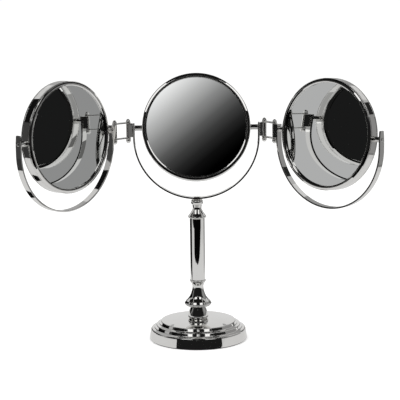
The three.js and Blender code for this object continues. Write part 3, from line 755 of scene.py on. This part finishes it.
def head_profile():
    """A hinge pin: a shaft down to its nut and a tall domed head with a small rim."""
    rim_height = 0.8
    edge = 0.3
    dome_bottom = 0.9
    dome_inset = 0.25
    dome_start = 0.12
    shaft = CAP_NUT_BOTTOM + CAP_NUT_HEIGHT / 3 + CLEARANCE
    dome = arc(0, HEAD_BOTTOM + dome_bottom, HINGE_HEAD_RADIUS - dome_inset,
               HINGE_HEAD_HEIGHT - dome_bottom, dome_start, pi / 2, steps=12)
    rim = eased([
        (HINGE_PIN_RADIUS, HEAD_BOTTOM), (HINGE_HEAD_RADIUS, HEAD_BOTTOM),
        (HINGE_HEAD_RADIUS, HEAD_BOTTOM + rim_height), dome[0],
    ], edge)
    return [
        (0, shaft), (HINGE_PIN_RADIUS, shaft), (HINGE_PIN_RADIUS, HEAD_BOTTOM),
        *rim[1:-1], *dome[:-1], (0, dome[-1][1]),
    ]


def nut_profile():
    """A round cap nut: a domed end below, a waist groove and a flat top with the pin's bore."""
    dome_share = 0.62
    groove_below_top = 1.3
    groove_half = 0.3
    groove_depth = 0.4
    edge = 0.3
    height = CAP_NUT_HEIGHT * dome_share
    groove = CAP_NUT_TOP - groove_below_top
    bore = CAP_NUT_BOTTOM + CAP_NUT_HEIGHT / 3
    dome = arc(0, CAP_NUT_BOTTOM + height, CAP_NUT_RADIUS, height, -pi / 2, 0, steps=14)
    wall = eased([
        dome[-1], (CAP_NUT_RADIUS, groove - groove_half), (CAP_NUT_RADIUS - groove_depth, groove),
        (CAP_NUT_RADIUS, groove + groove_half), (CAP_NUT_RADIUS, CAP_NUT_TOP),
        (HINGE_BORE_RADIUS, CAP_NUT_TOP),
    ], edge)
    return [(0, dome[0][1]), *dome[1:], *wall[1:], (HINGE_BORE_RADIUS, bore), (0, bore)]


def build_knuckle(name, body, place):
    """A knuckle with its pin's bore and the hollow that clears the pivot pin's tip."""
    knuckle = prism(name + "_finish", knuckle_outline, KNUCKLE_BOTTOM, KNUCKLE_TOP, KNUCKLE_EDGE)
    bore = pin_cutter(HINGE_BORE_RADIUS, KNUCKLE_BOTTOM - CLEARANCE, KNUCKLE_TOP + CLEARANCE, Matrix())
    cut(knuckle, bore)
    tip = Matrix.Translation((-KNUCKLE_LUG_LENGTH * MM, 0, PIVOT_HEIGHT * MM)) @ ALONG_X
    cut(knuckle, pin_cutter(PIVOT_TIP_RADIUS + CLEARANCE, -1, PIVOT_TIP_PROUD + CLEARANCE, tip))
    dress(knuckle, place, body, name)


def build_links(name, body, place, pitch):
    """The top and bottom link plates with a bore for each pin."""
    past = 1
    for label, bottom in (("top", TOP_LINK_BOTTOM), ("bottom", BOTTOM_LINK_BOTTOM)):
        top = bottom + LINK_THICKNESS
        plate = prism(f"{name}_{label}_link_finish", link_outline(pitch), bottom, top, LINK_EDGE)
        for x in (0, pitch):
            shift = Matrix.Translation((x * MM, 0, 0))
            cut(plate, pin_cutter(HINGE_BORE_RADIUS, bottom - past, top + past, shift))
        dress(plate, place, body, f"{name}_{label}_link")


def build_hinge(name):
    """A wing's double hinge: its links, its two pins with their nuts, and its two knuckles."""
    inner = joint_place(name + "_link_swing")
    outer = joint_place(name + "_wing_swing")
    body = name + "_link"
    build_links(name, body, hinge_frame(inner, outer - inner), (outer - inner).length / MM)
    for label, place in (("inner", inner), ("outer", outer)):
        at = hinge_frame(place, outer - inner)
        end = f"{name}_{label}"
        lathe(end + "_head_finish", head_profile(), SMALL_SIDES, at, body, end + "_hinge_pin")
        lathe(end + "_nut_finish", nut_profile(), SMALL_SIDES, at, body, end + "_cap_nut")
    build_knuckle(name + "_inner_knuckle", "stand", hinge_frame(inner, Vector((SIDE[name], 0, 0))))
    wing = joint_place(name + "_tilt") - outer
    build_knuckle(name + "_outer_knuckle", name + "_frame", hinge_frame(outer, -wing))


# Foot and column


def foot_outside(inset):
    """The foot's profile from its bottom edge to the column's seat, drawn in by an inset."""
    rim_top = PAD_THICKNESS + FOOT_RIM_HEIGHT - inset
    rim = FOOT_RADIUS - inset
    first = rim - FOOT_SHOULDER - FOOT_STEP_WIDTH
    second = first - FOOT_STEP_WIDTH
    round_middle = (rim - FOOT_RIM_DRAFT - FOOT_SHOULDER, rim_top - FOOT_SHOULDER)
    shoulder = arc(*round_middle, FOOT_SHOULDER, FOOT_SHOULDER, 0, pi / 2, steps=10)
    dome_start = 2
    dome_lift = 0.15
    steps = [
        shoulder[-1],
        (first + FOOT_RISER_DRAFT, rim_top + FOOT_LEDGE_RISE),
        (first, rim_top + FOOT_STEP_HEIGHT),
        (second + FOOT_RISER_DRAFT, rim_top + FOOT_STEP_HEIGHT + FOOT_LEDGE_RISE),
        (second, rim_top + 2 * FOOT_STEP_HEIGHT),
        (second - dome_start, rim_top + 2 * FOOT_STEP_HEIGHT + dome_lift),
    ]
    dome = smooth([
        steps[-1],
        ((SEAT_RADIUS + second) / 2, FOOT_TOP - FOOT_DOME_RISE / 3 - inset),
        (SEAT_RADIUS, FOOT_TOP - inset),
    ], steps=12)
    return [(rim, PAD_THICKNESS), *shoulder[:-1], *eased(steps, FOOT_EDGE)[:-1], *dome]


def build_foot():
    """The foot's shell, with the tie rod's hole in it, and the felt pad under it."""
    shell = [
        *foot_outside(0), (ROD_BORE_RADIUS, FOOT_TOP), (ROD_BORE_RADIUS, FOOT_TOP - FOOT_WALL),
        *foot_outside(FOOT_WALL)[::-1],
    ]
    lathe("foot_finish", shell, FOOT_SIDES, Matrix(), "stand", "base_shell")
    radius = FOOT_RADIUS - PAD_MARGIN
    edge = 0.4
    pad = eased([(0, 0), (radius, 0), (radius, PAD_THICKNESS), (0, PAD_THICKNESS)], edge)
    lathe("pad_finish", pad, FOOT_SIDES, Matrix(), "stand", "base_pad", "felt")


def baluster_profile():
    """The lower baluster: a bulb, a flared skirt, a hollow neck and a cup with a bead."""
    skirt = BULB_HEIGHT + SKIRT_RISE
    cup = TUBE_RADIUS + CUP_LIP
    lip = BALUSTER_HEIGHT - CUP_LIP_HEIGHT
    edge_rise = 0.3
    edge_tuck = 0.5
    seat_draw = 0.6
    bulb_shares = ((0.975, 0.13), (1, 0.24), (0.97, 0.4), (0.89, 0.66))
    bead_width, bead_height = 0.9, 1.0
    groove = cup - 0.35
    groove_bottom = lip + 0.9
    groove_top = BALUSTER_HEIGHT - 2.3
    groove_round = 0.5

    def above(share):
        return skirt + SKIRT_EDGE / 2 + share * (lip - skirt)

    bulb = smooth([
        (SEAT_RADIUS - seat_draw, 0),
        *((BULB_RADIUS * r, BULB_HEIGHT * h) for r, h in bulb_shares),
        (WAIST_RADIUS, BULB_HEIGHT),
    ])
    under = smooth([
        (WAIST_RADIUS, BULB_HEIGHT),
        (SKIRT_RADIUS * 0.86, skirt - SKIRT_RISE * 0.6),
        (SKIRT_RADIUS - edge_tuck, skirt - SKIRT_EDGE / 2 - edge_tuck),
    ])
    half_edge = SKIRT_EDGE / 2
    edge = arc(SKIRT_RADIUS - half_edge, skirt, half_edge, half_edge + edge_rise, -1.0, 1.2, steps=8)
    neck = smooth([
        (SKIRT_RADIUS * 0.9, above(0.08)), (SKIRT_RADIUS * 0.66, above(0.24)),
        (LOWER_NECK_RADIUS * 1.2, above(0.46)), (LOWER_NECK_RADIUS, above(0.72)),
        (LOWER_NECK_RADIUS * 1.1, above(0.86)), (cup * 0.92, above(0.96)),
    ])
    bead = arc(cup - bead_width, BALUSTER_HEIGHT - bead_height, bead_width, bead_height,
               -pi / 2, pi / 2, steps=8)
    wall = eased([neck[-1], (groove, groove_bottom), (groove, groove_top), bead[0]], groove_round)
    spigot_top = BALUSTER_HEIGHT + SPIGOT_LENGTH
    return [
        *bulb, *under[1:], *edge, *neck, *wall[1:-1], *bead,
        (SPIGOT_RADIUS, BALUSTER_HEIGHT), (SPIGOT_RADIUS, spigot_top),
        (ROD_BORE_RADIUS, spigot_top), (ROD_BORE_RADIUS, 0),
    ]


def cap_profile():
    """The column's cap: a flare over the tube, a hollow neck and a knob under the yoke."""
    knob = CAP_HEIGHT - CAP_KNOB_HEIGHT
    knob_swell = 0.8

    def between(share):
        return CAP_FLARE_HEIGHT + share * (knob - CAP_FLARE_HEIGHT)

    neck = smooth([
        (CAP_FLARE_RADIUS * 0.9, between(0.09)), (CAP_NECK_RADIUS * 1.45, between(0.26)),
        (CAP_NECK_RADIUS, between(0.55)), (CAP_NECK_RADIUS, between(0.76)),
        (CAP_NECK_RADIUS * 1.02, between(0.83)),
    ])
    ball = smooth([
        neck[-1], (CAP_KNOB_RADIUS * 0.93, between(0.9)), (CAP_KNOB_RADIUS, knob + knob_swell),
        (CAP_KNOB_RADIUS * 0.92, knob + CAP_KNOB_HEIGHT * 0.6), (CAP_SEAT_RADIUS, CAP_HEIGHT),
    ])
    screw_end = CAP_HEIGHT - YOKE_SCREW_DEPTH - CLEARANCE
    rod_end = ROD_DEPTH_IN_CAP + CLEARANCE
    screw_bore = YOKE_SCREW_RADIUS + CLEARANCE
    flare_round = 0.6
    flare = eased([
        (TUBE_RADIUS + CAP_LIP, CLEARANCE), (CAP_FLARE_RADIUS, CAP_FLARE_HEIGHT - CAP_FLARE_EDGE),
        (CAP_FLARE_RADIUS, CAP_FLARE_HEIGHT), neck[0],
    ], flare_round)
    return [
        (0, rod_end), (ROD_BORE_RADIUS, rod_end), (ROD_BORE_RADIUS, -SPIGOT_LENGTH),
        (SPIGOT_RADIUS, -SPIGOT_LENGTH), (SPIGOT_RADIUS, CLEARANCE),
        *flare[:-1], *neck, *ball[1:],
        (screw_bore, CAP_HEIGHT), (screw_bore, screw_end), (0, screw_end),
    ]


def screw_profile():
    """The yoke's clamping screw: a plain shaft under a low round head."""
    rim_height = 0.4
    seat = COLUMN_TOP + YOKE_THICKNESS + CLEARANCE
    foot = COLUMN_TOP - YOKE_SCREW_DEPTH
    head = arc(0, seat + rim_height, YOKE_SCREW_HEAD_RADIUS, YOKE_SCREW_HEAD_HEIGHT - rim_height,
               0, pi / 2, steps=10)
    return [
        (0, foot), (YOKE_SCREW_RADIUS, foot), (YOKE_SCREW_RADIUS, seat),
        (YOKE_SCREW_HEAD_RADIUS, seat), *head[:-1], (0, seat + YOKE_SCREW_HEAD_HEIGHT),
    ]


def tube_profile():
    """The plain tube, with small chamfers at its outer edges."""
    inner = TUBE_RADIUS - TUBE_WALL
    edge = 0.2
    return [
        (inner, TUBE_BOTTOM), (TUBE_RADIUS - edge, TUBE_BOTTOM), (TUBE_RADIUS, TUBE_BOTTOM + edge),
        (TUBE_RADIUS, TUBE_TOP - edge), (TUBE_RADIUS - edge, TUBE_TOP), (inner, TUBE_TOP),
    ]


def build_column():
    lift = Matrix.Translation((0, 0, FOOT_TOP * MM))
    top = Matrix.Translation((0, 0, TUBE_TOP * MM))
    for name, profile, place, node in (
            ("baluster_finish", baluster_profile(), lift, "lower_baluster"),
            ("tube_finish", tube_profile(), Matrix(), "column_tube"),
            ("cap_finish", cap_profile(), top, "column_cap")):
        lathe(name, profile, COLUMN_SIDES, place, "stand", node)


def build_yoke_screw():
    """The clamping screw, with a slot across its head."""
    screw = turned("yoke_screw_finish", screw_profile(), SMALL_SIDES)
    half = SCREW_SLOT_WIDTH / 2
    reach = 2 * YOKE_SCREW_HEAD_RADIUS
    top = COLUMN_TOP + YOKE_THICKNESS + CLEARANCE + YOKE_SCREW_HEAD_HEIGHT
    past = 1
    edge = 0.1

    def slot_outline(inset):
        return [(-reach, -half), (reach, -half), (reach, half), (-reach, half)]

    cut(screw, prism("slot_cutter", slot_outline, top - SCREW_SLOT_DEPTH, top + past, edge))
    dress(screw, Matrix(), "stand", "yoke_screw")


def finish_inner_nodes():
    """Gives the solids their finish, for the hidden ones that are shown as they are."""
    for entry in frame["record"]["subparts"]:
        node = frame["nodes"][entry["node"]]
        node.data.materials.clear()
        node.data.materials.append(MATERIAL[entry["material_slot"]])


# Studio. Its lengths are in metres. Its levels are 0 for black, 1 for white and more for the lights.

TABLE_END = 0.7
TABLE_FRONT = -0.519
TABLE_CORNER = (-0.47, -0.40)
TABLE_CORNER_END = (-TABLE_END, -0.12)
WALL_X = 1.5
SIDE_START = -0.6
SIDE_END = 0.95
ROOM_REACH = 3.0
ROOM_FRONT = -2.6
ROOM_BACK = 2.2
CEILING = 2.0


def stage(thing, material, reflected_only):
    """Gives a studio thing its material and, where that is asked, lets only reflections see it."""
    thing.data.materials.append(material)
    if reflected_only:
        thing.visible_camera = False
        thing.visible_diffuse = False
        thing.visible_transmission = False
        thing.visible_shadow = False


def glowing(name):
    """A material that only glows, with its nodes, its links and the socket of its colour."""
    material = bpy.data.materials.new(name)
    material.use_nodes = True
    nodes, links = material.node_tree.nodes, material.node_tree.links
    nodes.clear()
    light = nodes.new("ShaderNodeEmission")
    out = nodes.new("ShaderNodeOutputMaterial")
    links.new(light.outputs[0], out.inputs["Surface"])
    return material, nodes, links, light.inputs["Color"]


def glow(name, level):
    """A plain surface that reflections see at one level."""
    material, _, _, colour = glowing(name)
    colour.default_value = (level, level, level, 1)
    return material


def shaded_glow(name, slope, start, stops):
    """A surface whose level runs through stops of [place, level], along a slope from a start."""
    material, nodes, links, colour = glowing(name)
    place = nodes.new("ShaderNodeTexCoord")
    along = nodes.new("ShaderNodeVectorMath")
    along.operation = "DOT_PRODUCT"
    along.inputs[1].default_value = slope
    ramp = nodes.new("ShaderNodeValToRGB")
    while len(ramp.color_ramp.elements) < len(stops):
        ramp.color_ramp.elements.new(0.5)
    for element, (position, level) in zip(ramp.color_ramp.elements, stops):
        element.position = position
        element.color = (level, level, level, 1)
    shift = nodes.new("ShaderNodeMath")
    shift.operation = "ADD"
    shift.inputs[1].default_value = start
    links.new(place.outputs["Object"], along.inputs[0])
    links.new(along.outputs["Value"], shift.inputs[0])
    links.new(shift.outputs[0], ramp.inputs["Fac"])
    links.new(ramp.outputs["Color"], colour)
    return material


def card(name, corners, material):
    """A flat card between corners, which only reflections see."""
    stage(thing_of(name, corners, [list(range(len(corners)))]), material, True)


def upright(name, start, end, bottom, top, level):
    """An upright card over the line between two places on the floor, [x, y]."""
    card(name, [(*start, bottom), (*end, bottom), (*end, top), (*start, top)], glow(name, level))


def flat_card(name, west, east, south, north, height, level):
    """A level card, as seen from above."""
    corners = [(west, south, height), (east, south, height), (east, north, height), (west, north, height)]
    card(name, corners, glow(name, level))


def build_table():
    """The pale table, which ends in front of the foot and lacks a corner, and the floors beside it."""
    west, east, cut_start = -TABLE_END, TABLE_END, -0.14
    height, level = 0.0005, 0.72
    rim = [(east, ROOM_BACK), (east, TABLE_FRONT), (cut_start, TABLE_FRONT), TABLE_CORNER,
           TABLE_CORNER_END, (west, ROOM_BACK)]
    card("pale_table", [(x, y, height) for x, y in rim], glow("pale_table", level))
    flat_card("dark_floor", -ROOM_REACH, ROOM_REACH, -ROOM_REACH, 0, height=0.0003, level=0.002)
    flat_card("left_floor", -ROOM_REACH, west, TABLE_FRONT, SIDE_END, height=0.0004, level=0.04)
    flat_card("right_floor", east, ROOM_REACH, TABLE_FRONT, SIDE_END, height=0.0004, level=0.22)


def build_room():
    """The room round the table: dark in front, grey at the sides and pale at the back."""
    west, east = -ROOM_REACH, ROOM_REACH
    flat_card("dark_ceiling", west, east, -ROOM_REACH, SIDE_END, height=CEILING, level=0.01)
    flat_card("pale_ceiling", west, east, SIDE_END, ROOM_BACK, height=CEILING, level=0.7)
    upright("dark_front", (west, ROOM_FRONT), (east, ROOM_FRONT), 0, CEILING, level=0.012)
    for name, x in (("dark_left", -WALL_X), ("dark_right", WALL_X)):
        upright(name, (x, ROOM_FRONT), (x, SIDE_START), 0, CEILING, level=0.012)
    for name, x, bottom, top, level in (
            ("left_wall_low", -WALL_X, 0, 0.84, 0.055),
            ("left_wall_high", -WALL_X, 0.84, CEILING, 0.006),
            ("right_wall_low", WALL_X, 0, 0.8, 0.2),
            ("right_wall_middle", WALL_X, 0.8, 1.25, 0.02),
            ("right_wall_high", WALL_X, 1.25, CEILING, 0.5)):
        upright(name, (x, SIDE_START), (x, SIDE_END), bottom, top, level)
    upright("back_wall", (west, ROOM_BACK), (east, ROOM_BACK), 0, CEILING, level=0.74)


def build_ledges():
    """A pale ledge round the table's ends, which the foot's rim mirrors beside its dark middle."""
    upright("corner_ledge", TABLE_CORNER_END, TABLE_CORNER, 0, 0.05, level=0.7)
    upright("left_ledge", TABLE_CORNER_END, (-TABLE_END, SIDE_END), 0, 0.055, level=0.7)
    upright("right_ledge", (TABLE_END, -0.49), (TABLE_END, SIDE_END), 0, 0.055, level=0.66)


def build_light_boxes():
    """Two light boxes high up in front of the mirror, one to each side."""
    bottom, top, level = 1.0, 1.88, 1.15
    upright("left_light", (-0.996, -0.836), (-0.402, -1.236), bottom, top, level)
    upright("right_light", (0.445, -1.222), (0.996, -0.836), bottom, top, level)


def build_back_cards():
    """Grey cards behind the wings, a white one behind the middle mirror and a shade behind its rods."""
    upright("left_back_card", (-0.5, 0.5), (-0.07, 0.5), 0.23, 0.7, level=0.42)
    upright("right_back_card", (0.07, 0.5), (0.5, 0.5), 0.23, 0.7, level=0.34)
    upright("white_card", (-0.078, 0.1), (0.078, 0.1), 0.24, 0.41, level=1.1)
    flat_card("left_rod_shade", -0.0915, -0.0795, -0.006, 0.19, height=0.296, level=0.03)
    flat_card("right_rod_shade", 0.0795, 0.0915, -0.006, 0.19, height=0.296, level=0.03)


def build_knuckle_cards():
    """What the hinges' inner knuckles mirror, far out on the floor in front."""
    south, north = -2.59, -1.9
    flat_card("left_knuckle_card", -0.27, -0.13, south, north, height=0.0006, level=0.15)
    flat_card("right_knuckle_card", 0.13, 0.27, south, north, height=0.0006, level=0.03)
    flat_card("right_knuckle_strip", 0.196, 0.206, south, north, height=0.0009, level=0.4)


def build_side_cards():
    """Low flags beside the column, a dark weight on the table, and the boards that the wings mirror."""
    upright("left_flag", (-0.2, 0.0), (-0.22, 0.6), 0.05, 0.16, level=0.003)
    upright("right_flag", (0.2, 0.093), (0.22, 0.6), 0.05, 0.16, level=0.15)
    flat_card("weight", -0.46, -0.39, 0.0, 0.07, height=0.0008, level=0.003)
    upright("left_card", (-0.62, -0.05), (-0.62, 0.36), 0.1, 0.56, level=0.46)
    upright("right_card", (0.62, -0.12), (0.62, 0.36), 0.12, 0.5, level=0.29)


def build_shaded_card():
    """The card that the middle mirror shows: light at the upper left, black at the lower right."""
    y, height = -0.9, 0.6676
    half_width, half_height = 0.1025, 0.1092
    margin = 1.15
    corners = 64
    slope_x = 0.195 / half_width
    slope_z = 0.235 / half_height
    stops = ((0.24, 0.0), (0.32, 0.005), (0.38, 0.02), (0.44, 0.05), (0.5, 0.105), (0.6, 0.275),
             (0.7, 0.53), (0.84, 0.98))
    around = [2 * pi * k / corners for k in range(corners)]
    rim = [(margin * half_width * cos(a), y, height + margin * half_height * sin(a)) for a in around]
    start = 0.5 - slope_z * height
    card("shaded_card", rim, shaded_glow("shaded_card", (-slope_x, 0, slope_z), start, stops))


def seen_directly(nodes, links):
    """One for camera, glossy and transmission rays and zero for the rest."""
    path = nodes.new("ShaderNodeLightPath")
    seen = path.outputs["Is Camera Ray"]
    for other in ("Is Glossy Ray", "Is Transmission Ray"):
        join = nodes.new("ShaderNodeMath")
        join.operation = "MAXIMUM"
        links.new(seen, join.inputs[0])
        links.new(path.outputs[other], join.inputs[1])
        seen = join.outputs[0]
    return seen


def build_world():
    """A white backdrop for the camera and for reflections, and an even soft light on the rest."""
    world = bpy.data.worlds.new("studio")
    bpy.context.scene.world = world
    world.use_nodes = True
    nodes, links = world.node_tree.nodes, world.node_tree.links
    nodes.clear()
    level = nodes.new("ShaderNodeMapRange")
    level.inputs["To Min"].default_value = 0.9
    level.inputs["To Max"].default_value = 1.0
    links.new(seen_directly(nodes, links), level.inputs["Value"])
    sky = nodes.new("ShaderNodeBackground")
    sky.inputs["Color"].default_value = (1, 1, 1, 1)
    links.new(level.outputs["Result"], sky.inputs["Strength"])
    out = nodes.new("ShaderNodeOutputWorld")
    links.new(sky.outputs[0], out.inputs["Surface"])


def build_floor():
    """A plain white floor. A faint glow in direct view and in mirrors lifts it to white."""
    half = 12
    corners = [(-half, -half, 0), (half, -half, 0), (half, half, 0), (-half, half, 0)]
    floor = thing_of("floor", corners, [[0, 1, 2, 3]])
    material = bpy.data.materials.new("pale_floor")
    material.use_nodes = True
    nodes, links = material.node_tree.nodes, material.node_tree.links
    surface = nodes["Principled BSDF"]
    surface.inputs["Base Color"].default_value = (0.96, 0.96, 0.955, 1)
    surface.inputs["Roughness"].default_value = 0.9
    surface.inputs["Specular IOR Level"].default_value = 0.0
    surface.inputs["Emission Color"].default_value = (1, 1, 1, 1)
    glow_strength = 0.16
    lift = nodes.new("ShaderNodeMath")
    lift.operation = "MULTIPLY"
    lift.inputs[1].default_value = glow_strength
    links.new(seen_directly(nodes, links), lift.inputs[0])
    links.new(lift.outputs[0], surface.inputs["Emission Strength"])
    stage(floor, material, False)


def build_lamp():
    """A broad soft lamp overhead, a little to the left and in front, which reflections don't show."""
    target = Vector((0, 0, 0.1))
    lamp = bpy.data.lights.new("overhead", "AREA")
    lamp.shape = "DISK"
    lamp.size = 2.2
    lamp.energy = 24
    thing = bpy.data.objects.new("overhead", lamp)
    thing.location = (-0.5, -0.6, 2.4)
    thing.rotation_euler = (target - thing.location).to_track_quat("-Z", "Y").to_euler()
    thing.visible_glossy = False
    bpy.context.scene.collection.objects.link(thing)


def build_camera():
    """The photograph's camera: where it stands, its pitch, roll and turn, and its focal length."""
    place = Vector((2.37, -2400.68, 645.52)) * MM
    pitch, roll, yaw = radians(-10.25), radians(-0.58), radians(0.05)
    focal_pixels, frame_pixels, sensor = 1636.79, 400, 36
    forward = Vector((sin(yaw) * cos(pitch), cos(yaw) * cos(pitch), sin(pitch)))
    right = Vector((cos(yaw), -sin(yaw), 0))
    up = right.cross(forward)
    rolled_right = right * cos(roll) + up * sin(roll)
    rolled_up = up * cos(roll) - right * sin(roll)
    lens = bpy.data.cameras.new("camera")
    lens.sensor_width = sensor
    lens.lens = focal_pixels * sensor / frame_pixels
    lens.clip_end = 50
    camera = bpy.data.objects.new("camera", lens)
    camera.matrix_world = axes(rolled_right, rolled_up, -forward, place)
    bpy.context.scene.collection.objects.link(camera)
    bpy.context.scene.camera = camera


build_camera()
for mirror_name in MIRRORS:
    build_mirror(mirror_name)
build_yoke("center", 0, "stand")
for wing_name, wing_side in SIDE.items():
    build_yoke(wing_name, wing_side, wing_name + "_frame")
    build_hinge(wing_name)
build_foot()
build_column()
build_yoke_screw()
finish_inner_nodes()
build_floor()
for build_cards in (build_table, build_room, build_ledges, build_light_boxes, build_back_cards,
                    build_knuckle_cards, build_side_cards, build_shaded_card):
    build_cards()
build_world()
build_lamp()
bpy.context.scene.view_settings.view_transform = "Standard"
